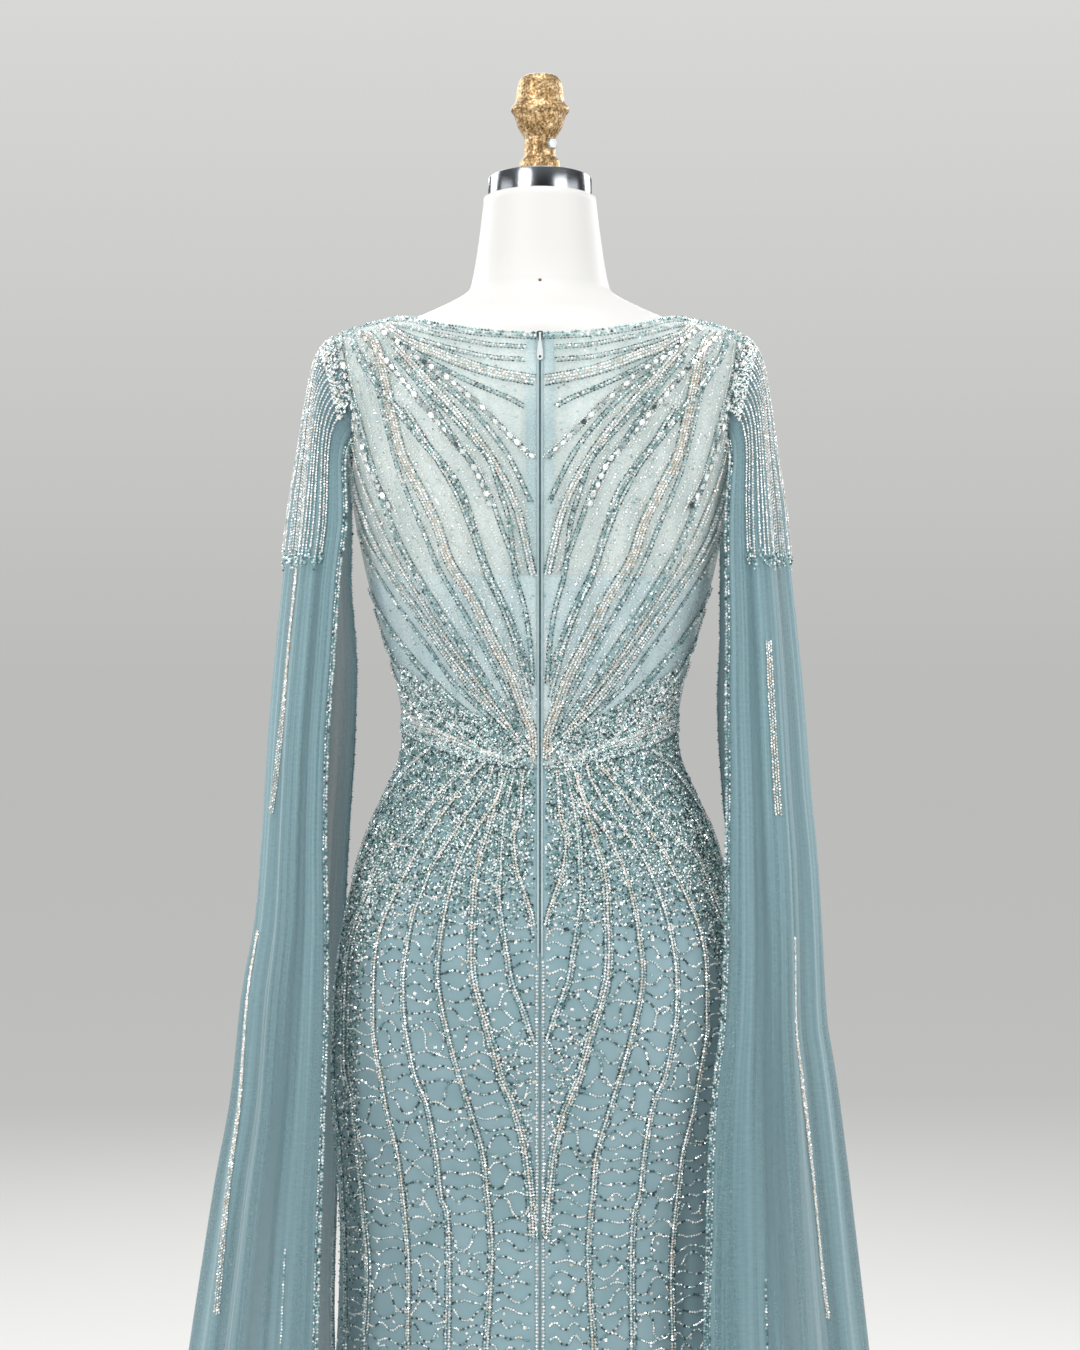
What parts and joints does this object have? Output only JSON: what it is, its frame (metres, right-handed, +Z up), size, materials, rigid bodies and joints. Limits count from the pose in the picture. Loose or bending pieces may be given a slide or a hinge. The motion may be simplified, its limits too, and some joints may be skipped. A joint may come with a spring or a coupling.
{
  "type": "evening gown on a limbless dress form",
  "caption": "Floor-length fitted evening gown with open cape sleeves and shoulder fringe, on a limbless dress form with a round stand.",
  "frame": {"origin": "on the floor, under the middle of the stand's pole, at the middle of the base's flat underside", "axes": "+Z up, the gown's back faces +Y and its front -Y, the wearer's left is +X"},
  "size_m": [0.726, 0.4726, 1.6544],
  "materials": {
    "sheer_tulle": "sheer beaded tulle",
    "lining_satin": "dull satin lining",
    "zip_tape": "plain woven tape",
    "skirt_tulle": "beaded tulle over lining",
    "sleeve_tulle": "plain soft tulle",
    "glass_beads": "clear and silver-lined glass",
    "zip_metal": "gloss enamel",
    "form_white": "smooth matt white",
    "cap_steel": "brushed",
    "gilt_casting": "rough cast with gilt paint",
    "screw_zinc": "zinc plated",
    "stand_paint": "satin white enamel"
  },
  "bodies": {
    "root": {"bodice_front": "sheer_tulle", "bodice_back_left": "sheer_tulle", "bodice_back_right": "sheer_tulle", "lining_front": "lining_satin", "lining_back_left": "lining_satin", "lining_back_right": "lining_satin", "zip_tape_left": "zip_tape", "zip_tape_right": "zip_tape", "zip_slider": "zip_metal", "skirt_front": "skirt_tulle", "skirt_back_left": "skirt_tulle", "skirt_back_right": "skirt_tulle", "sleeve_left": "sleeve_tulle", "sleeve_right": "sleeve_tulle", "fringe_left": "glass_beads", "fringe_right": "glass_beads", "form_body": "form_white", "neck_cap": "cap_steel", "finial": "gilt_casting", "finial_screw": "screw_zinc", "stand_pole": "cap_steel", "stand_base": "stand_paint"},
    "pull_tab": {"zip_pull_tab": "zip_metal"}
  },
  "joints": [
    {"name": "pull_tab_hinge", "type": "hinge", "parent": "root", "child": "pull_tab", "pos_m": [0, 0.0932, 1.42245], "axis": [1, 0, 0], "range_deg": [0, 150]}
  ]
}
